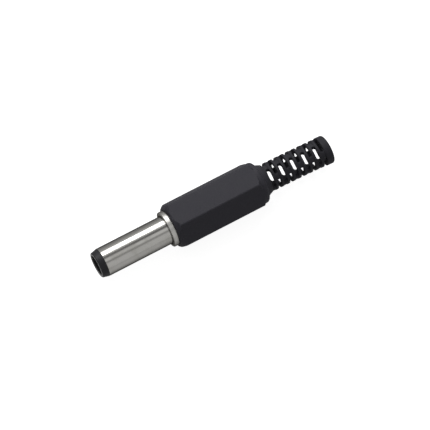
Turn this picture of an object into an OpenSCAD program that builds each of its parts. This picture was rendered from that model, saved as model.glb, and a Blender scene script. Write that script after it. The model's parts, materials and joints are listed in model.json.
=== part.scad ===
// DC barrel plug of the solder type, with a screw-on handle and a slotted strain relief.
// The origin is on the plug's axis, at the front face of the collar, where a socket stops it.
// +X points towards the tip. The plug lies on the handle flat that faces -Z.

/* [Barrel] */
// Outer diameter of the barrel
barrel_d = 5.5; // [4.9:0.1:6.3]
// Length of the bare barrel, from the collar to the metal front edge
barrel_len = 13.2; // [8:0.1:16]
// Wall of the barrel
barrel_wall = 0.45; // [0.3:0.05:0.6]
// Chamfer on the turned edges
turned_edge = 0.1; // [0.04:0.02:0.18]

/* [Collar and thread] */
// Diameter of the collar
collar_d = 6.95; // [6.7:0.05:8]
// Thickness of the collar
collar_t = 1; // [0.6:0.1:2]
// Outer diameter of the thread that holds the handle
thread_d = 6.4; // [6.2:0.1:6.8]
// Length of the thread
thread_len = 5.4; // [4:0.1:6.5]
// Width of the undercut between the collar and the thread
undercut_w = 0.6; // [0.4:0.1:1]
// Depth of the undercut
undercut_depth = 0.3; // [0.1:0.05:0.5]
// Wall of the spigot that is rolled over the sleeve terminal
spigot_wall = 0.25; // [0.15:0.05:0.35]
// How far the rolled lip reaches over the sleeve terminal
lip_reach = 0.3; // [0.15:0.05:0.4]
// Thickness of the rolled lip
lip_t = 0.25; // [0.15:0.05:0.4]
// Radial clearance between the spigot and the sleeve terminal's hole
spigot_clearance = 0.03; // [0.02:0.01:0.05]

/* [Nose insulator] */
// How far the nose stands out in front of the metal
nose_len = 1.25; // [0.8:0.05:2.5]
// Diameter that the nose tapers to
nose_front_d = 5; // [4.7:0.1:5.4]
// Rounding of the nose's front edge
nose_round = 0.25; // [0.1:0.05:0.3]
// Diameter of the countersunk mouth
mouth_d = 4.1; // [3.7:0.1:4.3]
// Wall of the insulator around the contact's shank
insulator_wall = 0.6; // [0.4:0.05:0.7]
// Place of the step inside the sleeve, behind the collar's face
bore_step = 0.3; // [0.1:0.1:1]

/* [Centre contact] */
// Bore of the contact, for the socket's pin
contact_bore_d = 2.1; // [1.8:0.05:2.5]
// Wall of the contact
contact_wall = 0.4; // [0.25:0.05:0.45]
// Depth of the contact's front edge behind the nose's face
contact_recess = 1; // [0.5:0.1:2]
// Depth of the contact's bore
contact_depth = 11; // [8:0.5:12]
// Solid length between the end of the bore and the shoulder
contact_web = 0.6; // [0.4:0.1:1.5]
// Width of the saw cuts that make the spring fingers
slit_w = 0.3; // [0.15:0.05:0.4]
// Length of the saw cuts
slit_len = 6; // [3:0.5:7]
// Room around the fingers to spread
finger_room = 0.15; // [0.05:0.05:0.2]
// Diameter of the contact's solid shank
shank_d = 1.8; // [1.6:0.1:2]
// Diameter of the stub that is riveted over
stub_d = 1.2; // [0.8:0.1:1.3]
// Diameter of the rivet head
rivet_d = 1.9; // [1.6:0.1:2]
// Height of the rivet head
rivet_h = 0.4; // [0.2:0.1:0.6]

/* [Terminals] */
// Thickness of the terminals' sheet
sheet_t = 0.4; // [0.3:0.05:0.5]
// Inside radius of the bends
bend_r = 0.2; // [0.1:0.05:0.3]
// Thickness of the rear insulating washer
washer_t = 0.6; // [0.4:0.1:1]
// Diameter of the rear insulating washer
washer_d = 3.8; // [3.4:0.1:3.9]
// Diameter of the centre terminal's ring
lug_ring_d = 2.9; // [2.5:0.1:3.2]
// Height of the centre terminal's bend above the axis
lug_bend_z = 1.05; // [1:0.05:1.3]
// Width of the centre terminal's strap
lug_w = 1.6; // [1.2:0.1:1.9]
// Length of the centre terminal, from its ring to its end
lug_len = 4.6; // [3:0.1:5.5]
// Solder hole in the centre terminal
lug_hole_d = 0.9; // [0.6:0.1:1]
// Width of the sleeve terminal's strap
strap_w = 2.2; // [1.6:0.1:2.4]
// Distance of the sleeve terminal's solder hole behind its ring
strap_hole_x = 4.4; // [2:0.1:5.5]
// Solder hole in the sleeve terminal
strap_hole_d = 1.1; // [0.7:0.1:1.3]
// Distance of the cable clamp behind the ring
clamp_x = 7.6; // [6.8:0.1:8]
// Length of each clamp wing
wing_len = 1.4; // [0.8:0.1:1.6]
// Gap between the two wings
wing_gap = 0.4; // [0.2:0.1:0.6]
// Half angle of the clamp's saddle
saddle_angle = 50; // [35:5:70]
// Angle up to which each wing reaches round the cable
wing_angle = 120; // [90:5:140]
// Gap between the clamp and the cable
clamp_gap = 0.3; // [0.2:0.05:0.4]

/* [Handle] */
// Width of the handle across its flats
hex_af = 8.3; // [8.2:0.1:10]
// Rounding along the handle's six corners
hex_round = 0.4; // [0.1:0.1:1]
// Length of the hexagonal part
hex_len = 17.8; // [17.4:0.1:22]
// Diameter of the flat front face, where the chamfer starts
face_d = 7.8; // [7:0.1:8]
// Length of the front chamfer along the corners
chamfer_len = 1.1; // [0.6:0.1:2]
// Length over which the corners run out at the rear
runout_len = 0.6; // [0.4:0.1:2]
// Diameter of the round shoulder behind the hexagon
shoulder_d = 8.2; // [7.6:0.02:8.3]
// Straight length of the round shoulder
shoulder_len = 0.4; // [0.3:0.05:1.5]
// Rounding of the shoulder
shoulder_round = 0.75; // [0.3:0.05:0.9]
// Radial clearance around the thread
thread_clearance = 0.05; // [0.02:0.01:0.08]
// Room behind the shank for the end of the thread
thread_room = 0.6; // [0.2:0.1:2]
// Diameter of the handle's cavity
cavity_d = 5.8; // [5.7:0.1:6]
// Radial clearance between the sleeve terminal's ring and the cavity
ring_clearance = 0.1; // [0.05:0.05:0.15]
// Length of the cavity behind the clamp
cavity_room = 0.5; // [0.2:0.1:1]

/* [Strain relief] */
// Diameter of the neck where it leaves the shoulder
neck_d = 6.6; // [6:0.1:6.7]
// Length of the tapered neck
neck_len = 1.15; // [0.8:0.05:3]
// Diameter of the strain relief
boot_d = 5.5; // [5.2:0.05:6]
// Bore of the slotted part
boot_bore_d = 4; // [3.9:0.1:4.6]
// Diameter of the cable, and of the bore through the end ring
cable_d = 3.6; // [3.4:0.1:3.8]
// Width of the slots
slot_w = 0.86; // [0.5:0.02:1.2]
// Thickness of the rings between the slots
ring_t = 0.35; // [0.3:0.05:1]
// Number of rows of slots
slot_rows = 10; // [3:1:12]
// Width of the ribs that join the rings
rib_w = 1.05; // [0.6:0.05:1.4]
// How far the ribs lie below the rings
rib_drop = 0.08; // [0:0.02:0.2]
// Turn of the first row of ribs about the axis
rib_turn = 83; // [0:1:119]
// Length of the end ring
end_ring_len = 1.4; // [1:0.1:3]
// Diameter of the end ring
end_ring_d = 5.6; // [5:0.1:6.2]
// Rounding of the end ring
end_round = 0.35; // [0.1:0.05:0.5]

/* [Hidden] */

// Facets of a full turn and of a slot's round ends, and steps in a rounded edge
round_fn = 36;
slot_fn = 16;
arc_steps = 5;
// Number of ribs in a row, and the turn from one row to the next
ribs_per_row = 3;
row_turn = 180 / ribs_per_row;
// Slant of a drill's point
drill_slant = tan(31);
// Reach of the cutting solids past what they cut
cut = 1;

// Radii
barrel_r = barrel_d / 2;
barrel_bore_r = barrel_r - barrel_wall;
collar_r = collar_d / 2;
thread_r = thread_d / 2;
undercut_r = thread_r - undercut_depth;
shank_r = shank_d / 2;
rear_bore_r = shank_r + insulator_wall;
spigot_r = rear_bore_r + spigot_wall;
lip_r = spigot_r + lip_reach;
contact_bore_r = contact_bore_d / 2;
contact_r = contact_bore_r + contact_wall;
cavity_r = cavity_d / 2;
ring_r = cavity_r - ring_clearance;
clamp_r = cable_d / 2 + clamp_gap;
cable_bore_r = cable_d / 2;
boot_r = boot_d / 2;
boot_bore_r = boot_bore_d / 2;
hex_a = hex_af / 2;
hex_corner_r = hex_a / cos(30);

// Places along the axis, from the tip to the rear
nose_x = barrel_len + nose_len;
contact_front_x = nose_x - contact_recess;
finger_end_x = contact_front_x - slit_len;
contact_floor_x = contact_front_x - contact_depth;
contact_shoulder_x = contact_floor_x - contact_bore_r * drill_slant - contact_web;
thread_front_x = -collar_t - undercut_w;
shank_end_x = thread_front_x - thread_len;
rear_x = shank_end_x - sheet_t - lip_t;
lug_x = rear_x - washer_t;
clamp_front_x = shank_end_x - clamp_x;
clamp_end_x = clamp_front_x - 2 * wing_len - wing_gap;
cavity_end_x = clamp_end_x - cavity_room;
hex_front_x = -collar_t;
hex_end_x = hex_front_x - hex_len;
neck_x = hex_end_x - shoulder_len - shoulder_round;
boot_x = neck_x - neck_len;
row_pitch = slot_w + ring_t;
end_ring_x = boot_x - slot_rows * row_pitch + ring_t;
end_x = end_ring_x - end_ring_len;

// Points of an arc about [r, x]
function arc(r, x, radius, from, to) = [
    for (i = [0:arc_steps])
        let (a = from + (to - from) * i / arc_steps)
        [r + radius * cos(a), x + radius * sin(a)]
];

// Puts a shape drawn along Z onto the plug's axis, with Z along +X and X downwards
module on_axis(x = 0) {
    translate([x, 0, 0]) rotate([0, 90, 0]) children();
}

// Turned solid from an outline of [radius, x] points
module turned(outline) {
    on_axis() rotate_extrude($fn = round_fn) polygon(outline);
}

// Metal barrel, collar, plain cylinder of the thread, and the spigot with its rolled lip
module sleeve() {
    color("silver") turned([
        [barrel_bore_r, barrel_len],
        [barrel_r - turned_edge, barrel_len],
        [barrel_r, barrel_len - turned_edge],
        [barrel_r, 0],
        [collar_r - turned_edge, 0],
        [collar_r, -turned_edge],
        [collar_r, turned_edge - collar_t],
        [collar_r - turned_edge, -collar_t],
        [undercut_r, -collar_t],
        [undercut_r, thread_front_x],
        [thread_r, thread_front_x - undercut_depth],
        [thread_r, shank_end_x + turned_edge],
        [thread_r - turned_edge, shank_end_x],
        [spigot_r, shank_end_x],
        [spigot_r, shank_end_x - sheet_t],
        [lip_r, shank_end_x - sheet_t],
        [lip_r - turned_edge, rear_x],
        [rear_bore_r, rear_x],
        [rear_bore_r, -bore_step],
        [barrel_bore_r, -bore_step]
    ]);
}

// Black nose with its countersunk mouth, and the stepped tube inside the sleeve
module nose_insulator() {
    color([0.07, 0.07, 0.08]) turned(concat(
        [
            [mouth_d / 2, nose_x]
        ],
        arc(nose_front_d / 2 - nose_round, nose_x - nose_round, nose_round, 90, 0),
        [
            [barrel_r, barrel_len],
            [barrel_bore_r, barrel_len],
            [barrel_bore_r, -bore_step],
            [rear_bore_r, -bore_step],
            [rear_bore_r, rear_x],
            [shank_r, rear_x],
            [shank_r, contact_shoulder_x],
            [contact_r, contact_shoulder_x],
            [contact_r, finger_end_x],
            [contact_r + finger_room, finger_end_x],
            [contact_r + finger_room, contact_front_x]
        ]
    ));
}

// Tube with four spring fingers, solid shank, and the stub that is riveted over the lug
module centre_contact() {
    rivet_x = lug_x - sheet_t;
    color("goldenrod") difference() {
        turned([
            [0, contact_floor_x - contact_bore_r * drill_slant],
            [contact_bore_r, contact_floor_x],
            [contact_bore_r, contact_front_x - turned_edge],
            [contact_bore_r + turned_edge, contact_front_x],
            [contact_r - turned_edge, contact_front_x],
            [contact_r, contact_front_x - turned_edge],
            [contact_r, contact_shoulder_x],
            [shank_r, contact_shoulder_x],
            [shank_r, rear_x],
            [stub_d / 2, rear_x],
            [stub_d / 2, rivet_x],
            [rivet_d / 2, rivet_x],
            [rivet_d / 2, rivet_x - rivet_h / 2],
            [stub_d / 2, rivet_x - rivet_h],
            [0, rivet_x - rivet_h]
        ]);
        for (quarter = [0:1])
            on_axis(finger_end_x)
                rotate(90 * quarter)
                    translate([-contact_r - cut, -slit_w / 2, 0])
                        cube([2 * (contact_r + cut), slit_w, slit_len + cut]);
    }
}

// Flat ring behind front_x, bent rearwards above bend_z into a strap that ends at end_x
module bent_terminal(front_x, outer_r, hole_r, bend_z, width, end_x) {
    back_x = front_x - sheet_t;
    difference() {
        on_axis(back_x) cylinder(r = outer_r, h = sheet_t, $fn = round_fn);
        on_axis(back_x - cut) cylinder(r = hole_r, h = sheet_t + 2 * cut, $fn = round_fn);
        translate([back_x - cut, -outer_r - cut, bend_z])
            cube([sheet_t + 2 * cut, 2 * (outer_r + cut), outer_r]);
    }
    translate([back_x - bend_r, 0, bend_z])
        rotate([90, 0, 0])
            rotate_extrude(angle = 90, $fn = round_fn)
                translate([bend_r, -width / 2])
                    square([sheet_t, width]);
    translate([end_x, -width / 2, bend_z + bend_r])
        cube([back_x - bend_r - end_x, width, sheet_t]);
}

// Washer between the sleeve's rear end and the centre terminal
module rear_insulator() {
    color("saddlebrown") turned([
        [stub_d / 2, rear_x],
        [washer_d / 2, rear_x],
        [washer_d / 2, lug_x],
        [stub_d / 2, lug_x]
    ]);
}

// Solder lug of the centre contact, with a round end about its hole
module centre_terminal() {
    hole_x = lug_x - lug_len + lug_w / 2;
    color("khaki") difference() {
        union() {
            bent_terminal(lug_x, lug_ring_d / 2, stub_d / 2, lug_bend_z, lug_w, hole_x);
            translate([hole_x, 0, lug_bend_z + bend_r])
                cylinder(d = lug_w, h = sheet_t, $fn = round_fn);
        }
        translate([hole_x, 0, lug_bend_z + bend_r - cut])
            cylinder(d = lug_hole_d, h = sheet_t + 2 * cut, $fn = round_fn);
    }
}

// Part of a tube around the cable, between two angles from straight down
module clamp_band(from, to, x, len) {
    on_axis(x)
        rotate(from)
            rotate_extrude(angle = to - from, $fn = round_fn)
                translate([clamp_r, 0])
                    square([sheet_t, len]);
}

// Ring under the rolled lip, strap with a solder hole, and the two-winged cable clamp
module sleeve_terminal() {
    strap_top_z = clamp_r;
    color("khaki") {
        difference() {
            mirror([0, 0, 1])
                bent_terminal(
                    shank_end_x, ring_r, spigot_r + spigot_clearance, strap_top_z - bend_r, strap_w,
                    clamp_front_x - wing_len / 2
                );
            translate([shank_end_x - strap_hole_x, 0, -strap_top_z - sheet_t - cut])
                cylinder(d = strap_hole_d, h = sheet_t + 2 * cut, $fn = round_fn);
        }
        clamp_band(-saddle_angle, saddle_angle, clamp_end_x, clamp_front_x - clamp_end_x);
        clamp_band(0, wing_angle, clamp_front_x - wing_len, wing_len);
        clamp_band(-wing_angle, 0, clamp_end_x, wing_len);
    }
}

// Hexagonal bar with rounded corners and flats up and down, before its ends are turned
module hex_bar() {
    corner = (hex_a - hex_round) / cos(30);
    on_axis(hex_end_x)
        linear_extrude(hex_len)
            polygon([
                for (k = [0:5], i = [0:arc_steps])
                    let (mid = 60 * k + 30, a = mid - 30 + 60 * i / arc_steps)
                    [corner * cos(mid) + hex_round * cos(a), corner * sin(mid) + hex_round * sin(a)]
            ]);
}

// Hexagonal grip: chamfered like a nut in front, with corners that run out at the rear
module grip() {
    face_r = face_d / 2;
    intersection() {
        hex_bar();
        turned([
            [0, hex_front_x],
            [face_r, hex_front_x],
            [hex_corner_r, hex_front_x - chamfer_len],
            [hex_corner_r, hex_end_x + runout_len],
            [hex_a, hex_end_x],
            [0, hex_end_x]
        ]);
    }
}

// Shoulder, neck and strain relief as one turned form, with the ribs' level between the rings
module tail() {
    shoulder_r = shoulder_d / 2;
    end_r = end_ring_d / 2;
    rib_r = boot_r - rib_drop;
    turned(concat(
        [
            [0, hex_end_x + cut],
            [shoulder_r - shoulder_round, hex_end_x + cut],
            [shoulder_r, hex_end_x]
        ],
        arc(shoulder_r - shoulder_round, neck_x + shoulder_round, shoulder_round, 0, -90),
        [
            [neck_d / 2, neck_x],
            [boot_r, boot_x]
        ],
        [
            for (row = [0:slot_rows - 1], corner = [[0, rib_r], [slot_w, rib_r], [slot_w, boot_r],
                [row_pitch, boot_r]])
                if (row < slot_rows - 1 || corner[0] < slot_w)
                    [corner[1], boot_x - row * row_pitch - corner[0]]
        ],
        [
            [rib_r, end_ring_x],
            [end_r, end_ring_x]
        ],
        arc(end_r - end_round, end_x + end_round, end_round, 0, -90),
        [
            [0, end_x]
        ]
    ));
}

// One row of slots with rounded ends, which leaves the ribs between them
module slot_cutter(row) {
    end_centres = rib_w + slot_w;
    rib_angles = [for (rib = [0:ribs_per_row - 1]) rib_turn + row_turn * (row + 2 * rib)];
    on_axis(boot_x - row * row_pitch - slot_w) {
        difference() {
            cylinder(r = boot_r + cut, h = slot_w, $fn = round_fn);
            for (angle = rib_angles)
                rotate(angle)
                    translate([0, -end_centres / 2, -cut])
                        cube([boot_r + 2 * cut, end_centres, slot_w + 2 * cut]);
        }
        for (angle = rib_angles, side = [-1, 1])
            rotate(angle)
                translate([0, side * end_centres / 2, slot_w / 2])
                    rotate([0, 90, 0])
                        cylinder(d = slot_w, h = boot_r + cut, $fn = slot_fn);
    }
}

// Thread bore, cavity, and the bores of the slotted part and the end ring
module handle_bore() {
    thread_bore_r = thread_r + thread_clearance;
    thread_end_x = shank_end_x - thread_room;
    turned([
        [0, hex_front_x + cut],
        [thread_bore_r, hex_front_x + cut],
        [thread_bore_r, thread_end_x],
        [cavity_r, thread_end_x],
        [cavity_r, cavity_end_x],
        [boot_bore_r, neck_x],
        [boot_bore_r, end_ring_x],
        [cable_bore_r, end_ring_x],
        [cable_bore_r, end_x - cut],
        [0, end_x - cut]
    ]);
}

// One moulding: grip, shoulder, neck and slotted strain relief
module handle() {
    color([0.22, 0.22, 0.24]) difference() {
        union() {
            grip();
            tail();
        }
        handle_bore();
        for (row = [0:slot_rows - 1]) slot_cutter(row);
    }
}

sleeve();
nose_insulator();
centre_contact();
sleeve_terminal();
rear_insulator();
centre_terminal();
handle();
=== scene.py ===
"""Looks for the dc barrel plug: a finish for every piece, the cut thread, and a small studio."""

from __future__ import annotations

import json
import logging
import math
from dataclasses import dataclass
from enum import Enum
from typing import Any, Mapping, Sequence, Union

import bmesh
import bpy
from mathutils import Matrix, Vector

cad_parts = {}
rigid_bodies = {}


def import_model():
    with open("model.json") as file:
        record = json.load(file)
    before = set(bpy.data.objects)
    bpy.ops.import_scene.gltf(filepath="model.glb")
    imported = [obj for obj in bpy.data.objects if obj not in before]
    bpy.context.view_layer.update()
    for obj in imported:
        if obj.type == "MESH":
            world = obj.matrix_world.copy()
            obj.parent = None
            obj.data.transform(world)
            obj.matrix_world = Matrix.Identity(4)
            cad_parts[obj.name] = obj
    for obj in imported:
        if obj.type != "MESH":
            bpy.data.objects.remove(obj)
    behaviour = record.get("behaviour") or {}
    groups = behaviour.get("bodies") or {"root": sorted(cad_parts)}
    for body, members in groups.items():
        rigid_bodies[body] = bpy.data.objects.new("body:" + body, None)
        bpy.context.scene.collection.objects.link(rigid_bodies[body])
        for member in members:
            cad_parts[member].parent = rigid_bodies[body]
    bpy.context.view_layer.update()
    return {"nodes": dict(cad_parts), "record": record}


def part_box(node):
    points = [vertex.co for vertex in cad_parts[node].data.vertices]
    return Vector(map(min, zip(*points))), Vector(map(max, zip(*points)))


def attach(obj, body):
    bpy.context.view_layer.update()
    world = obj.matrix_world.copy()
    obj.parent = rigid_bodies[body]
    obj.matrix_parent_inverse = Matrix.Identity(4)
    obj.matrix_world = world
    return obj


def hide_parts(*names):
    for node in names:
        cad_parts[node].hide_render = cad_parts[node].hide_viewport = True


LOG = logging.getLogger("barrel_plug")
MM = 0.001
MERGE_WITHIN = 1e-4  # millimetres
WHITE = (1.0, 1.0, 1.0, 1.0)
AIM_X = -9.0 * MM
FLOOR_GAP = 0.01 * MM
Triple = tuple[float, float, float]
Span = tuple[float, float]


class Slot(Enum):
    """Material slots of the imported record."""

    PLATED_METAL = "plated_metal"
    BLACK_INSULATOR = "black_insulator"
    CONTACT_METAL = "contact_metal"
    TINNED_SHEET = "tinned_sheet"
    FIBRE_WASHER = "fibre_washer"
    HANDLE_PLASTIC = "handle_plastic"


class Signal:
    """A number on a shader socket that can be used in a formula."""

    def __init__(self, shader: Shader, socket: bpy.types.NodeSocket) -> None:
        """Wraps an output socket of the shader's tree."""
        self.shader = shader
        self.socket = socket

    def _maths(self, operation: str, *terms: Signal | float) -> Signal:
        """Adds a Math node.

        Args:
            operation: Name of the Math node's operation.
            *terms: Its inputs, in order.

        Returns:
            The node's result.
        """
        node = self.shader.add("ShaderNodeMath", {"operation": operation}, dict(enumerate(terms)))
        return Signal(self.shader, node.outputs[0])

    def __add__(self, other: Signal | float) -> Signal:
        """Sum."""
        return self._maths("ADD", self, other)

    def __sub__(self, other: Signal | float) -> Signal:
        """Difference."""
        return self._maths("SUBTRACT", self, other)

    def __rsub__(self, other: float) -> Signal:
        """Difference from a plain number."""
        return self._maths("SUBTRACT", other, self)

    def __mul__(self, other: Signal | float) -> Signal:
        """Product."""
        return self._maths("MULTIPLY", self, other)

    def __truediv__(self, other: Signal | float) -> Signal:
        """Quotient."""
        return self._maths("DIVIDE", self, other)

    def __rtruediv__(self, other: float) -> Signal:
        """Quotient of a plain number."""
        return self._maths("DIVIDE", other, self)

    __radd__ = __add__
    __rmul__ = __mul__

    def angle_with(self, other: Signal) -> Signal:
        """Angle of the point (other, self) about the origin, in radians."""
        return self._maths("ARCTAN2", self, other)

    def root(self) -> Signal:
        """Square root."""
        return self._maths("SQRT", self)

    def most(self, other: Signal | float) -> Signal:
        """The larger of two."""
        return self._maths("MAXIMUM", self, other)

    def between(
        self, low: float, high: float, out_low: float = 0.0, out_high: float = 1.0
    ) -> Signal:
        """Carries a range over to another, with soft ends.

        Args:
            low: Value that gives out_low.
            high: Value that gives out_high.
            out_low: Result at the low end.
            out_high: Result at the high end.

        Returns:
            The carried value, kept within the two results.
        """
        node = self.shader.add(
            "ShaderNodeMapRange",
            {"interpolation_type": "SMOOTHSTEP"},
            {
                "Value": self,
                "From Min": low,
                "From Max": high,
                "To Min": out_low,
                "To Max": out_high,
            },
        )
        return Signal(self.shader, node.outputs["Result"])


Input = Union[Signal, bpy.types.NodeSocket, float, Sequence[float]]


class Shader:
    """Node tree of one material or world."""

    def __init__(self, tree: bpy.types.NodeTree) -> None:
        """Empties the tree, so that only what is added here is in it."""
        self.tree = tree
        tree.nodes.clear()

    def add(
        self,
        kind: str,
        settings: Mapping[str, Any] | None = None,
        inputs: Mapping[Any, Input] | None = None,
    ) -> bpy.types.Node:
        """Adds any node.

        Args:
            kind: The node's type.
            settings: Properties, set before the inputs; "stops" are a ramp's positions, each with
                a grey value or a colour.
            inputs: Values or links, by the name or number of the socket.

        Returns:
            The new node.
        """
        node = self.tree.nodes.new(kind)
        for name, value in (settings or {}).items():
            if name == "stops":
                self._set_stops(node.color_ramp, value)
            else:
                setattr(node, name, value)
        for name, value in (inputs or {}).items():
            if isinstance(value, Signal):
                value = value.socket
            if isinstance(value, bpy.types.NodeSocket):
                self.tree.links.new(value, node.inputs[name])
            else:
                node.inputs[name].default_value = value
        return node

    @staticmethod
    def _set_stops(ramp: bpy.types.ColorRamp, stops: Sequence[tuple[float, Any]]) -> None:
        """Gives a ramp its stops.

        Args:
            ramp: The ramp to fill.
            stops: Position with a grey value or a colour, in rising order.
        """
        while len(ramp.elements) < len(stops):
            ramp.elements.new(1.0)
        for element, (place, value) in zip(ramp.elements, stops):
            element.position = place
            tone = (value,) * 3 if isinstance(value, (int, float)) else value
            element.color = (*tone, 1.0)

    def places(self, stretch: Triple = (1.0, 1.0, 1.0)) -> bpy.types.NodeSocket:
        """Object coordinates, in metres.

        Args:
            stretch: Factor on each axis.

        Returns:
            The vector socket.
        """
        source = self.add("ShaderNodeTexCoord").outputs["Object"]
        node = self.add("ShaderNodeMapping", None, {"Vector": source, "Scale": stretch})
        return node.outputs["Vector"]

    def noise(
        self,
        size: float,
        stretch: Triple = (1.0, 1.0, 1.0),
        detail: float = 3.0,
        rough: float = 0.55,
    ) -> Signal:
        """Soft random pattern.

        Args:
            size: Size of its largest patches in metres.
            stretch: Factor on each axis, above 1 for a finer pattern that way.
            detail: Number of finer layers.
            rough: Strength of the finer layers.

        Returns:
            Values around one half.
        """
        node = self.add(
            "ShaderNodeTexNoise",
            None,
            {
                "Vector": self.places(stretch),
                "Scale": 1.0 / size,
                "Detail": detail,
                "Roughness": rough,
            },
        )
        return Signal(self, node.outputs["Fac"])

    def axes(self) -> tuple[Signal, Signal, Signal]:
        """The three object coordinates as numbers."""
        node = self.add("ShaderNodeSeparateXYZ", None, {"Vector": self.places()})
        return tuple(Signal(self, node.outputs[name]) for name in ("X", "Y", "Z"))

    def radius(self) -> Signal:
        """Distance from the plug's axis, in metres."""
        _, y, z = self.axes()
        return (y * y + z * z).root()

    def blend(self, share: Signal, first: Input, second: Input) -> bpy.types.NodeSocket:
        """Mixes two colours.

        Args:
            share: 0 for the first, 1 for the second.
            first: Colour where the share is 0.
            second: Colour where the share is 1.

        Returns:
            The mixed colour's socket.
        """
        colours = {6: self._colour(first), 7: self._colour(second)}
        node = self.add("ShaderNodeMix", {"data_type": "RGBA"}, {0: share, **colours})
        return node.outputs[2]

    @staticmethod
    def _colour(value: Input) -> Input:
        """Gives a plain colour its alpha, and leaves a socket as it is."""
        return value if isinstance(value, (Signal, bpy.types.NodeSocket)) else (*value, 1.0)

    def rays(self) -> tuple[Signal, Signal]:
        """Tells what kind of ray meets the surface.

        Returns:
            1 where the camera sees the surface itself, and 1 where metal or glass shows it.
        """
        kinds = self.add("ShaderNodeLightPath").outputs
        glossy, through = (
            Signal(self, kinds[name]) for name in ("Is Glossy Ray", "Is Transmission Ray")
        )
        return Signal(self, kinds["Is Camera Ray"]), glossy.most(through)

    def bump(
        self, height: Signal, depth: float, under: bpy.types.NodeSocket | None = None
    ) -> bpy.types.NodeSocket:
        """Relief that only the shading shows.

        Args:
            height: Height from 0 to 1.
            depth: Its size in metres.
            under: A coarser relief to lay this one on.

        Returns:
            The normal's socket.
        """
        inputs: dict[str, Input] = {"Height": height, "Distance": depth, "Strength": 1.0}
        if under is not None:
            inputs["Normal"] = under
        return self.add("ShaderNodeBump", None, inputs).outputs["Normal"]

    def surface(self, **inputs: Input) -> None:
        """Ends the tree in a Principled surface.

        Args:
            **inputs: Its inputs, with underscores for spaces.
        """
        named = {name.replace("_", " "): value for name, value in inputs.items()}
        if not isinstance(named["Base Color"], bpy.types.NodeSocket):
            named["Base Color"] = self._colour(named["Base Color"])
        node = self.add("ShaderNodeBsdfPrincipled", None, named)
        self.add("ShaderNodeOutputMaterial", None, {"Surface": node.outputs["BSDF"]})


@dataclass(frozen=True)
class Finish:
    """A named surface; each kind fills the shader in its own way."""

    name: str

    def fill(self, shader: Shader) -> None:
        """Builds the nodes into the shader."""
        raise NotImplementedError

    def material(self) -> bpy.types.Material:
        """Makes the material.

        Returns:
            A material that holds this finish.
        """
        made = bpy.data.materials.new(self.name)
        made.use_nodes = True
        self.fill(Shader(made.node_tree))
        return made


@dataclass(frozen=True)
class TurnedPlating(Finish):
    """Bright plating over turned metal, with faint tool rings, handling marks and a duller film."""

    colour: Triple = (0.45, 0.442, 0.422)
    film: Triple = (0.385, 0.377, 0.352)
    pale: Triple = (0.5, 0.492, 0.47)
    rim: float = 0.1
    roughness: float = 0.15
    film_haze: float = 0.05
    rub_haze: float = 0.07
    film_share: float = 0.7
    rub_share: float = 0.2
    satin: float = 0.2
    satin_from: float = 2.95 * MM
    satin_soft: float = 0.1 * MM
    scuff_size: float = 0.6 * MM
    ring_size: float = 0.12 * MM
    ring_stretch: Triple = (1.0, 0.02, 0.02)
    rub_size: float = 0.25 * MM
    rub_stretch: Triple = (0.04, 1.0, 1.0)
    film_size: float = 2.2 * MM
    ring_part: float = 0.6
    ring_depth: float = 0.5e-6

    def fill(self, shader: Shader) -> None:
        """Rings lie across the axis, rub marks along it, and wide parts are turned more coarsely,
        with pale scuffs that are partly wear and partly painted light.

        Args:
            shader: The material's shader.
        """
        start, end = self.satin_from - self.satin_soft, self.satin_from + self.satin_soft
        coarse = shader.radius().between(start, end)
        scuffs_and_painted_light = shader.noise(self.scuff_size, rough=0.6).between(0.38, 0.56, 0.25)
        rings = shader.noise(self.ring_size, self.ring_stretch, detail=2.0)
        rubs = shader.noise(self.rub_size, self.rub_stretch, rough=0.65)
        hazy = shader.noise(self.film_size, detail=4.0).between(0.42, 0.68)
        rubbed = rubs.between(0.56, 0.72)
        filmed = shader.blend(
            hazy * self.film_share + rubbed * self.rub_share, self.colour, self.film
        )
        dull = hazy * self.film_haze + rubbed * self.rub_haze
        shader.surface(
            # Partly painted light: the pale scuffs on the wide parts are wear and also brighten the
            # collar's metal.
            Base_Color=shader.blend(coarse * scuffs_and_painted_light, filmed, self.pale),
            Metallic=1.0,
            Specular_Tint=(self.rim, self.rim, self.rim, 1.0),
            Roughness=dull + coarse * self.satin + self.roughness,
            Normal=shader.bump(
                rings * self.ring_part + rubs * (1.0 - self.ring_part), self.ring_depth
            ),
        )


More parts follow.
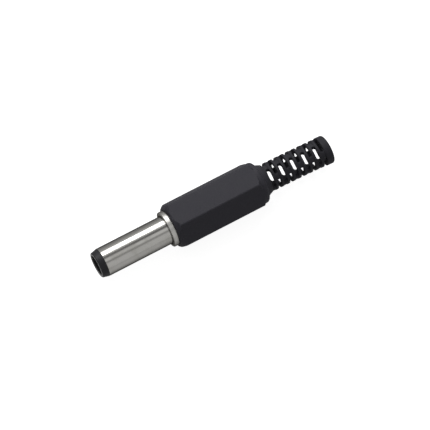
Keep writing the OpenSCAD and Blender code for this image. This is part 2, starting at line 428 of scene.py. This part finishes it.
@dataclass(frozen=True)
class MouldedPlastic(Finish):
    """Moulded plastic with an eroded grain, slight mottling and paler rub marks along the axis."""

    colour: Triple = (0.0225, 0.0216, 0.0282)
    pale: Triple = (0.035, 0.0337, 0.0424)
    roughness: float = 0.62
    gloss: float = 0.24
    grain: float = 0.16 * MM
    grain_depth: float = 13e-6
    patch_size: float = 1.6 * MM
    rub_size: float = 0.3 * MM
    rub_stretch: Triple = (0.07, 1.0, 1.0)
    patch_share: float = 0.4
    speck_share: float = 0.35
    rub_share: float = 0.3
    patch_haze: float = 0.08
    speck_shine: float = 0.05

    def tone(self, shader: Shader, plain: bpy.types.NodeSocket) -> bpy.types.NodeSocket:
        """Colour over the plain mottling; the plain one unless a kind adds to it."""
        return plain

    def matt(self, shader: Shader, plain: Signal) -> Signal:
        """Roughness over the plain one; the plain one unless a kind adds to it."""
        return plain

    def fill(self, shader: Shader) -> None:
        """Lays fine grain over a slow unevenness, with a few rubs along the axis.

        Args:
            shader: The material's shader.
        """
        fine = shader.noise(self.grain, detail=2.0, rough=0.6)
        slow = shader.noise(self.patch_size)
        patchy = slow.between(0.35, 0.7)
        specks = fine.between(0.48, 0.75)
        rubs = shader.noise(self.rub_size, self.rub_stretch, rough=0.6).between(0.62, 0.74)
        wear_and_painted_highlight = patchy * self.patch_share + specks * self.speck_share + rubs * self.rub_share
        dull = patchy * self.patch_haze - specks * self.speck_shine + self.roughness
        relief = shader.bump(slow, self.grain_depth * 2.0)
        shader.surface(
            Base_Color=self.tone(shader, shader.blend(wear_and_painted_highlight, self.colour, self.pale)),
            Roughness=self.matt(shader, dull),
            Specular_IOR_Level=self.gloss,
            Normal=shader.bump(fine, self.grain_depth, relief),
        )


@dataclass(frozen=True)
class HandlePlastic(MouldedPlastic):
    """The handle's plastic, with painted shade that makes the strain relief darker, standing in for
    the shade among its rings.
    """

    relief_painted_shade: Triple = (0.0125, 0.012, 0.016)
    grip_end: float = -19.9 * MM
    relief_start: float = -21.1 * MM
    darkest: float = 0.85

    def tone(self, shader: Shader, plain: bpy.types.NodeSocket) -> bpy.types.NodeSocket:
        """Paints shade onto the strain relief.

        Args:
            shader: The material's shader.
            plain: The plain colour.

        Returns:
            The colour with its dark end.
        """
        # Painted shade: the strain relief is darkened as if shaded in its recesses, from the grip's
        # end back.
        share = shader.axes()[0].between(self.relief_start, self.grip_end, self.darkest, 0.0)
        return shader.blend(share, plain, self.relief_painted_shade)


@dataclass(frozen=True)
class NosePlastic(MouldedPlastic):
    """The nose's plastic, with a painted highlight on the mouth's front rim and painted shade
    inside the mouth, which is also dull.
    """

    wear_and_painted_highlight: Triple = (0.26, 0.258, 0.262)
    mouth_painted_shade: Triple = (0.002, 0.002, 0.0024)
    dull: float = 0.35
    face_r: float = 2.3 * MM
    mouth_r: float = 2.02 * MM
    soft: float = 0.08 * MM
    front: Span = (14.15 * MM, 14.35 * MM)
    gap_size: float = 0.7 * MM

    def tone(self, shader: Shader, plain: bpy.types.NodeSocket) -> bpy.types.NodeSocket:
        """Lays the painted highlight ring and the painted shade inside the mouth over the plain
        colour.

        Args:
            shader: The material's shader.
            plain: The plain colour.

        Returns:
            The colour with its worn ring.
        """
        distance = shader.radius()
        inner = distance.between(self.mouth_r - self.soft, self.mouth_r)
        outer = distance.between(self.face_r, self.face_r + self.soft, 1.0, 0.0)
        breaks = shader.noise(self.gap_size, detail=2.0).between(0.3, 0.55, 0.35)
        front = shader.axes()[0].between(*self.front)
        # Painted shade: the inside of the mouth is darkened as a shaded recess.
        dark = shader.blend(self.inside(shader), plain, self.mouth_painted_shade)
        # Painted highlight: a pale broken ring on the mouth's front rim, standing in for light
        # caught by the rim.
        return shader.blend(inner * outer * breaks * front, dark, self.wear_and_painted_highlight)

    def inside(self, shader: Shader) -> Signal:
        """Share of the surface that lies inside the mouth."""
        return shader.radius().between(self.mouth_r - self.soft, self.mouth_r, 1.0, 0.0)

    def matt(self, shader: Shader, plain: Signal) -> Signal:
        """Makes the inside of the mouth duller.

        Args:
            shader: The material's shader.
            plain: The plain roughness.

        Returns:
            The roughness with its dull part.
        """
        return self.inside(shader) * self.dull + plain


@dataclass(frozen=True)
class TinnedSheet(Finish):
    """Satin tin over stamped sheet, with rolling lines and soft crystal patches."""

    colour: Triple = (0.55, 0.54, 0.52)
    dull: Triple = (0.42, 0.415, 0.4)
    roughness: float = 0.3
    crystal_size: float = 0.55 * MM
    line_size: float = 0.12 * MM
    line_stretch: Triple = (0.05, 1.0, 1.0)
    patch_share: float = 0.6
    patch_haze: float = 0.1
    line_haze: float = 0.08
    depth: float = 2e-6

    def fill(self, shader: Shader) -> None:
        """Lays patches of crystal under lines along the strip.

        Args:
            shader: The material's shader.
        """
        node = shader.add(
            "ShaderNodeTexVoronoi",
            {"feature": "F1"},
            {"Vector": shader.places(), "Scale": 1.0 / self.crystal_size},
        )
        crystals = Signal(shader, node.outputs["Distance"])
        lines = shader.noise(self.line_size, self.line_stretch, rough=0.6)
        patch = crystals.between(0.1, 0.75)
        share = patch * self.patch_share + lines * (1.0 - self.patch_share)
        shader.surface(
            Base_Color=shader.blend(share, self.colour, self.dull),
            Metallic=1.0,
            Roughness=patch * self.patch_haze + lines * self.line_haze + self.roughness,
            Normal=shader.bump((lines + crystals) * 0.5, self.depth),
        )


@dataclass(frozen=True)
class LaminatedBoard(Finish):
    """Brown paper laminate: flecked faces and layers on its edge."""

    colour: Triple = (0.2, 0.09, 0.05)
    dark: Triple = (0.11, 0.045, 0.025)
    roughness: float = 0.6
    haze: float = 0.12
    layer_size: float = 0.09 * MM
    layer_stretch: Triple = (1.0, 0.03, 0.03)
    fibre_size: float = 0.2 * MM
    fibre_stretch: Triple = (1.0, 0.4, 1.6)
    major: float = 0.6
    minor: float = 0.4
    depth: float = 6e-6

    def fill(self, shader: Shader) -> None:
        """Stacks layers along the axis, with fibres across them.

        Args:
            shader: The material's shader.
        """
        layers = shader.noise(self.layer_size, self.layer_stretch, detail=1.0)
        fibres = shader.noise(self.fibre_size, self.fibre_stretch, detail=4.0, rough=0.7)
        share = layers.between(0.4, 0.62) * self.major + fibres.between(0.45, 0.7) * self.minor
        shader.surface(
            Base_Color=shader.blend(share, self.colour, self.dark),
            Roughness=share * self.haze + self.roughness,
            Normal=shader.bump(fibres * self.major + layers * self.minor, self.depth),
        )


FINISHES: dict[Slot, Finish] = {
    Slot.PLATED_METAL: TurnedPlating("nickel_plating"),
    Slot.BLACK_INSULATOR: NosePlastic(
        "nose_black",
        colour=(0.011, 0.011, 0.0135),
        pale=(0.02, 0.0195, 0.025),
        roughness=0.42,
        gloss=0.25,
        grain=0.35 * MM,
        grain_depth=2.5e-6,
    ),
    Slot.CONTACT_METAL: TurnedPlating(
        "contact_plating",
        colour=(0.5, 0.48, 0.43),
        film=(0.42, 0.38, 0.3),
        roughness=0.22,
    ),
    Slot.TINNED_SHEET: TinnedSheet("tinned_brass"),
    Slot.FIBRE_WASHER: LaminatedBoard("brown_laminate"),
    Slot.HANDLE_PLASTIC: HandlePlastic("charcoal_grain"),
}


def link(name: str, data: bpy.types.ID) -> bpy.types.Object:
    """Makes an object of some data and links it to the scene.

    Args:
        name: The object's name.
        data: Its mesh, lamp or camera.

    Returns:
        The new object.
    """
    made = bpy.data.objects.new(name, data)
    bpy.context.scene.collection.objects.link(made)
    return made


def place(sheet: bmesh.types.BMesh, name: str, smooth: float) -> bpy.types.Object:
    """Turns a shape drawn in millimetres into an object in metres at the origin.

    Args:
        sheet: The finished shape; it is freed here.
        name: Name of the new object.
        smooth: Angle in degrees above which an edge stays sharp.

    Returns:
        The new object, linked to the scene.
    """
    bmesh.ops.recalc_face_normals(sheet, faces=sheet.faces)
    bmesh.ops.scale(sheet, verts=sheet.verts, vec=(MM, MM, MM))
    mesh = bpy.data.meshes.new(name)
    sheet.to_mesh(mesh)
    sheet.free()
    mesh.shade_smooth()
    mesh.set_sharp_from_angle(angle=math.radians(smooth))
    piece = link(name, mesh)
    even = piece.modifiers.new("even_normals", "WEIGHTED_NORMAL")
    even.mode = "FACE_AREA"
    even.weight = 100
    even.keep_sharp = True
    return piece


def hand_over(
    piece: bpy.types.Object, material: bpy.types.Material, body: str, node: str
) -> None:
    """Gives a finished piece its material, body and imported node.

    Args:
        piece: The finished piece.
        material: Its finish.
        body: The body it rides on.
        node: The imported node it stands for.
    """
    piece.data.materials.clear()
    piece.data.materials.append(material)
    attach(piece, body)
    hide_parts(node)


def soften(
    sheet: bmesh.types.BMesh, edges: Sequence[bmesh.types.BMEdge], width: float
) -> None:
    """Rounds some edges.

    Args:
        sheet: The shape.
        edges: The edges to round.
        width: Width of the rounding in millimetres.
    """
    bmesh.ops.bevel(
        sheet,
        geom=list(edges),
        offset=width,
        offset_type="OFFSET",
        segments=2,
        profile=0.5,
        affect="EDGES",
        clamp_overlap=True,
        material=-1,
    )


def sharp_edges(sheet: bmesh.types.BMesh, angle: float) -> list[bmesh.types.BMEdge]:
    """Edges whose two faces meet at more than an angle.

    Args:
        sheet: The shape.
        angle: The angle in degrees.

    Returns:
        The edges found.
    """
    limit = math.radians(angle)
    inner = (edge for edge in sheet.edges if len(edge.link_faces) == 2)
    return [edge for edge in inner if edge.calc_face_angle() > limit]


def closed_line(points: Sequence[Span]) -> bmesh.types.BMesh:
    """Draws a closed line to spin about the axis.

    Args:
        points: Place along the axis and distance from it, in millimetres.

    Returns:
        A shape that holds the line alone.
    """
    sheet = bmesh.new()
    corners = [sheet.verts.new((x, 0.0, r)) for x, r in points]
    for first, second in zip(corners, corners[1:] + corners[:1]):
        sheet.edges.new((first, second))
    return sheet


@dataclass
class TurnedSleeve:
    """Barrel, collar and threaded shank of one bar, with the thread really cut, in millimetres."""

    front: float
    rear: float
    barrel_r: float = 2.75
    bore_r: float = 2.3
    front_chamfer: float = 0.1
    collar_r: float = 3.475
    collar_t: float = 1.0
    root_r: float = 2.9
    crest_r: float = 3.2
    undercut_end: float = -1.6
    shank_end: float = -7.0
    spigot_r: float = 1.75
    lip_r: float = 2.05
    lip_t: float = 0.25
    rear_bore_r: float = 1.5
    step_x: float = -0.3
    rear_chamfer: float = 0.1
    collar_chamfer: float = 0.1
    rounding: float = 0.03
    rim_angle: float = 30.0
    wall_t: float = 0.2
    pitch: float = 0.6
    foot_share: float = 0.46
    crest_share: float = 0.07
    sunk: float = 0.05
    stop_gap: float = 0.12
    around: int = 96
    smooth: float = 28.0

    def body(self) -> bmesh.types.BMesh:
        """Spins the outline about the axis.

        Returns:
            The turned body without its thread.
        """
        chamfer = self.collar_chamfer
        outline = (
            (self.front, self.bore_r + self.front_chamfer / 2),
            (self.front, self.barrel_r - self.front_chamfer),
            (self.front - self.front_chamfer, self.barrel_r),
            (0.0, self.barrel_r),
            (0.0, self.collar_r - chamfer),
            (-chamfer, self.collar_r),
            (chamfer - self.collar_t, self.collar_r),
            (-self.collar_t, self.collar_r - chamfer),
            (-self.collar_t, self.root_r),
            (self.shank_end + self.rear_chamfer, self.root_r),
            (self.shank_end, self.root_r - self.rear_chamfer),
            (self.shank_end, self.spigot_r),
            (self.rear + self.lip_t, self.spigot_r),
            (self.rear + self.lip_t, self.lip_r),
            (self.rear, self.lip_r - self.rear_chamfer),
            (self.rear, self.rear_bore_r),
            (self.step_x, self.rear_bore_r),
            (self.step_x, self.bore_r),
            (self.front - self.front_chamfer / 2, self.bore_r),
        )
        sheet = closed_line(outline)
        bmesh.ops.spin(
            sheet,
            geom=[*sheet.verts, *sheet.edges],
            cent=(0.0, 0.0, 0.0),
            axis=(1.0, 0.0, 0.0),
            angle=math.tau,
            steps=self.around,
            use_merge=True,
        )
        bmesh.ops.remove_doubles(sheet, verts=sheet.verts, dist=MERGE_WITHIN)
        rims = [
            edge
            for edge in sharp_edges(sheet, self.rim_angle)
            if edge.verts[0].co.x > self.undercut_end
            and edge.verts[0].co.yz.length > self.bore_r + self.wall_t
        ]
        soften(sheet, rims, self.rounding)
        return sheet

    def ridge(self) -> bmesh.types.BMesh:
        """Spins one tooth along the shank and trims it at both ends.

        Returns:
            The thread's ridge, with its foot under the root's surface.
        """
        half_foot, half_crest = self.pitch * self.foot_share, self.pitch * self.crest_share
        start = self.undercut_end + self.pitch
        turns = int((self.undercut_end - self.shank_end) / self.pitch) + 2
        tooth = (
            (start - half_foot, self.root_r - self.sunk),
            (start - half_foot, self.root_r),
            (start - half_crest, self.crest_r),
            (start + half_crest, self.crest_r),
            (start + half_foot, self.root_r),
            (start + half_foot, self.root_r - self.sunk),
        )
        sheet = closed_line(tooth)
        steps = turns * self.around // 2
        bmesh.ops.spin(
            sheet,
            geom=[*sheet.verts, *sheet.edges],
            cent=(0.0, 0.0, 0.0),
            axis=(1.0, 0.0, 0.0),
            angle=math.tau * turns,
            steps=steps,
            dvec=(-self.pitch * turns / steps, 0.0, 0.0),
        )
        for stop, side in ((self.undercut_end, 1.0), (self.shank_end + self.stop_gap, -1.0)):
            bmesh.ops.bisect_plane(
                sheet,
                geom=[*sheet.verts, *sheet.edges, *sheet.faces],
                dist=MERGE_WITHIN,
                plane_co=(stop, 0.0, 0.0),
                plane_no=(side, 0.0, 0.0),
                clear_outer=True,
            )
        bmesh.ops.holes_fill(sheet, edges=[edge for edge in sheet.edges if edge.is_boundary])
        return sheet

    def build(self, material: bpy.types.Material) -> bpy.types.Object:
        """Makes the whole sleeve.

        Args:
            material: Its finish.

        Returns:
            The dressed piece.
        """
        sheet, thread = self.body(), self.ridge()
        bmesh.ops.recalc_face_normals(thread, faces=thread.faces)
        spare = bpy.data.meshes.new("thread")
        thread.to_mesh(spare)
        thread.free()
        sheet.from_mesh(spare)
        bpy.data.meshes.remove(spare)
        piece = place(sheet, "sleeve_turned", self.smooth)
        hand_over(piece, material, "core", "sleeve")
        faces = len(piece.data.polygons)
        LOG.info("sleeve_turned: %d faces, thread of %.2f mm pitch", faces, self.pitch)
        return piece


@dataclass
class MouldedHandle:
    """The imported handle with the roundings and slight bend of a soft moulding, in millimetres."""

    packed: bpy.types.Object
    edge: float = 0.035
    crease: float = 28.0
    smooth: float = 35.0
    level_within: float = 0.5
    outer_r: float = 2.5
    flat_r: float = 4.15
    slots_from: float = -21.1
    slot_w: float = 0.86
    ring_t: float = 0.35
    slot_rows: int = 10
    slot_visible_w: float = 0.76
    relief_turn: float = -2.0
    bow_start: float = -20.5
    bow_length: float = 13.75
    bow_by: Triple = (0.0, 0.3, -0.2)

    def tighten(self, sheet: bmesh.types.BMesh) -> None:
        """Draws the sides of each slot together and turns the strain relief a little.

        Args:
            sheet: The shape, in millimetres.
        """
        pitch = self.slot_w + self.ring_t
        share = 1.0 - self.slot_visible_w / self.slot_w
        for vert in sheet.verts:
            row, past = divmod(self.slots_from - vert.co.x + self.edge, pitch)
            from_middle = past - self.edge - self.slot_w / 2
            if 0 <= row < self.slot_rows and abs(from_middle) < self.slot_w / 2 + self.edge * 1.5:
                vert.co.x += from_middle * share
        behind = [vert for vert in sheet.verts if vert.co.x < self.slots_from + self.edge]
        turn = Matrix.Rotation(math.radians(self.relief_turn), 3, "X")
        bmesh.ops.rotate(sheet, verts=behind, matrix=turn)

    def level(self, sheet: bmesh.types.BMesh) -> None:
        """Presses back to the flats what the roundings pushed past them.

        Args:
            sheet: The shape, in millimetres.
        """
        for turn in (0.0, 60.0, 120.0):
            facing = Matrix.Rotation(math.radians(turn), 3, "X") @ Vector((0.0, 0.0, 1.0))
            for vert in sheet.verts:
                height = vert.co.dot(facing)
                past = abs(height) - self.flat_r
                if past > 0.0:
                    vert.co -= facing * math.copysign(past, height)

    def bow(self, sheet: bmesh.types.BMesh) -> None:
        """Bends the soft strain relief a little, as it lies.

        Args:
            sheet: The shape, in millimetres.
        """
        for vert in sheet.verts:
            past = max(0.0, (self.bow_start - vert.co.x) / self.bow_length)
            vert.co += Vector(self.bow_by) * past ** 2

    def build(self, material: bpy.types.Material) -> bpy.types.Object:
        """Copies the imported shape, merges it and rounds its outer edges.

        Args:
            material: Its finish.

        Returns:
            The dressed piece.
        """
        sheet = bmesh.new()
        sheet.from_mesh(self.packed.data)
        bmesh.ops.scale(sheet, verts=sheet.verts, vec=(1.0 / MM,) * 3)
        bmesh.ops.remove_doubles(sheet, verts=sheet.verts, dist=MERGE_WITHIN)
        bmesh.ops.dissolve_limit(
            sheet,
            angle_limit=math.radians(self.level_within),
            verts=sheet.verts,
            edges=sheet.edges,
            use_dissolve_boundaries=False,
        )
        self.tighten(sheet)
        outer = [
            edge
            for edge in sharp_edges(sheet, self.crease)
            if min(vert.co.yz.length for vert in edge.verts) > self.outer_r
        ]
        soften(sheet, outer, self.edge)
        bmesh.ops.remove_doubles(sheet, verts=sheet.verts, dist=self.edge / 20)
        bmesh.ops.dissolve_degenerate(sheet, edges=sheet.edges, dist=self.edge / 20)
        self.level(sheet)
        self.bow(sheet)
        piece = place(sheet, "handle_moulded", self.smooth)
        hand_over(piece, material, "shell", "handle")
        LOG.info("handle_moulded: %d faces", len(piece.data.polygons))
        return piece


@dataclass
class PackedNodes:
    """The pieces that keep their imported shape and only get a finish."""

    slots: dict[str, Slot]
    objects: Mapping[str, bpy.types.Object]
    materials: Mapping[Slot, bpy.types.Material]

    def dress(self) -> None:
        """Puts each node's material into its slots."""
        for node, slot in self.slots.items():
            piece = self.objects[node]
            piece.data.materials.clear()
            piece.data.materials.append(self.materials[slot])
            LOG.info("%s: packed shape in %s", node, slot.value)


@dataclass
class Studio:
    """Camera, lamps, surroundings and floor."""

    aim: Vector
    floor_z: float
    azimuth: float = 150.03
    elevation: float = 63.4
    distance: float = 0.5
    lens: float = 228.6
    aside: float = 1.174 * MM
    below: float = 1.3 * MM
    key_angle: float = 127.3
    key_distance: float = 0.35
    key_size: Span = (0.55, 0.19)
    key_shift: float = -0.06
    key_power: float = 1.4
    room: float = 0.34
    floor_size: float = 1.2
    floor_glow: float = 0.9
    floor_tone: float = 0.4
    floor_mirror: float = 0.27
    floor_fade: Span = (-9.0 * MM, -4.0 * MM)
    clip_start: float = 0.05
    surroundings: tuple[Span, ...] = (
        (0.0, 0.72),
        (0.22, 0.74),
        (0.265, 0.44),
        (0.305, 0.42),
        (0.345, 0.86),
        (0.43, 0.9),
        (0.47, 0.22),
        (0.53, 0.2),
        (0.57, 0.7),
        (0.82, 0.68),
        (0.9, 0.55),
        (1.0, 0.4),
    )

    def camera(self) -> None:
        """Sets the camera to look down on the plug from its handle's side."""
        turn, rise = math.radians(self.azimuth), math.radians(self.elevation)
        level = math.cos(rise)
        back = Vector((math.sin(turn) * level, -math.cos(turn) * level, math.sin(rise)))
        facing = (-back).to_track_quat("-Z", "Y")
        centre = self.aim + facing @ Vector((self.aside, -self.below, 0.0))
        data = bpy.data.cameras.new("camera")
        data.lens = self.lens
        data.clip_start = self.clip_start
        eye = link("camera", data)
        eye.rotation_mode = "QUATERNION"
        eye.rotation_quaternion = facing
        eye.location = centre + back * self.distance
        bpy.context.scene.camera = eye

    def lamps(self) -> None:
        """Hangs one long soft box above and behind the plug."""
        lean = math.radians(self.key_angle)
        offset = Vector((0.0, math.cos(lean), math.sin(lean))) * self.key_distance
        data = bpy.data.lights.new("soft_box", "AREA")
        data.shape = "RECTANGLE"
        data.size, data.size_y = self.key_size
        data.energy = self.key_power
        lamp = link("soft_box", data)
        lamp.location = self.aim + offset + Vector((self.key_shift, 0.0, 0.0))
        lamp.rotation_mode = "QUATERNION"
        lamp.rotation_quaternion = (-offset).to_track_quat("-Z", "Y")

    def surround(self) -> None:
        """Gives an even room light, a white background, and strips of shade for metal to mirror."""
        world = bpy.data.worlds.new("studio")
        world.use_nodes = True
        bpy.context.scene.world = world
        shader = Shader(world.node_tree)
        seen, mirrored = shader.rays()
        facing = shader.add("ShaderNodeTexCoord").outputs["Generated"]
        split = shader.add("ShaderNodeSeparateXYZ", None, {"Vector": facing}).outputs
        turn = Signal(shader, split["Z"]).angle_with(Signal(shader, split["Y"])) / math.pi
        ramp = shader.add("ShaderNodeValToRGB", {"stops": self.surroundings}, {"Fac": turn})
        strips = Signal(shader, ramp.outputs["Color"])
        level = (mirrored * (strips - self.room) + self.room).most(seen)
        sky = shader.add("ShaderNodeBackground", None, {"Color": WHITE, "Strength": level})
        shader.add("ShaderNodeOutputWorld", None, {"Surface": sky.outputs["Background"]})

    def floor(self) -> None:
        """Lays a pale floor that shows white and keeps the plug's soft shadow."""
        mesh = bpy.data.meshes.new("floor")
        sheet = bmesh.new()
        bmesh.ops.create_grid(sheet, x_segments=1, y_segments=1, size=self.floor_size)
        bmesh.ops.translate(sheet, verts=sheet.verts, vec=(self.aim.x, self.aim.y, self.floor_z))
        sheet.to_mesh(mesh)
        sheet.free()
        ground = link("floor", mesh)
        made = bpy.data.materials.new("pale_floor")
        made.use_nodes = True
        shader = Shader(made.node_tree)
        seen, mirrored = shader.rays()
        near = shader.axes()[1].between(*self.floor_fade)
        grey = (self.floor_tone, self.floor_tone, self.floor_tone, 1.0)
        board = shader.add("ShaderNodeBsdfDiffuse", None, {"Color": grey})
        strength = seen * self.floor_glow + mirrored * near * self.floor_mirror
        glow = shader.add("ShaderNodeEmission", None, {"Color": WHITE, "Strength": strength})
        both = shader.add("ShaderNodeAddShader", None, {0: board.outputs[0], 1: glow.outputs[0]})
        shader.add("ShaderNodeOutputMaterial", None, {"Surface": both.outputs[0]})
        mesh.materials.append(made)

    def build(self) -> None:
        """Makes everything around the plug."""
        self.camera()
        self.lamps()
        self.surround()
        self.floor()
        bpy.context.scene.view_settings.view_transform = "Standard"


def clear_scene() -> None:
    """Removes what a new file starts with."""
    for thing in list(bpy.data.objects):
        bpy.data.objects.remove(thing, do_unlink=True)


def main() -> None:
    """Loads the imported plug, dresses it and sets up the studio."""
    logging.basicConfig(level=logging.INFO, format="%(name)s: %(message)s")
    clear_scene()
    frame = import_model()
    lowest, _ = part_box("handle")
    materials = {slot: finish.material() for slot, finish in FINISHES.items()}
    slots = {part["node"]: Slot(part["material_slot"]) for part in frame["record"]["subparts"]}
    PackedNodes(slots, frame["nodes"], materials).dress()
    rear, front = (corner.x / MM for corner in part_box("sleeve"))
    TurnedSleeve(front, rear).build(materials[Slot.PLATED_METAL])
    MouldedHandle(frame["nodes"]["handle"]).build(materials[Slot.HANDLE_PLASTIC])
    Studio(aim=Vector((AIM_X, 0.0, 0.0)), floor_z=lowest.z - FLOOR_GAP).build()
    LOG.info("studio: camera, soft box, room and floor")


if __name__ == "__main__":
    main()
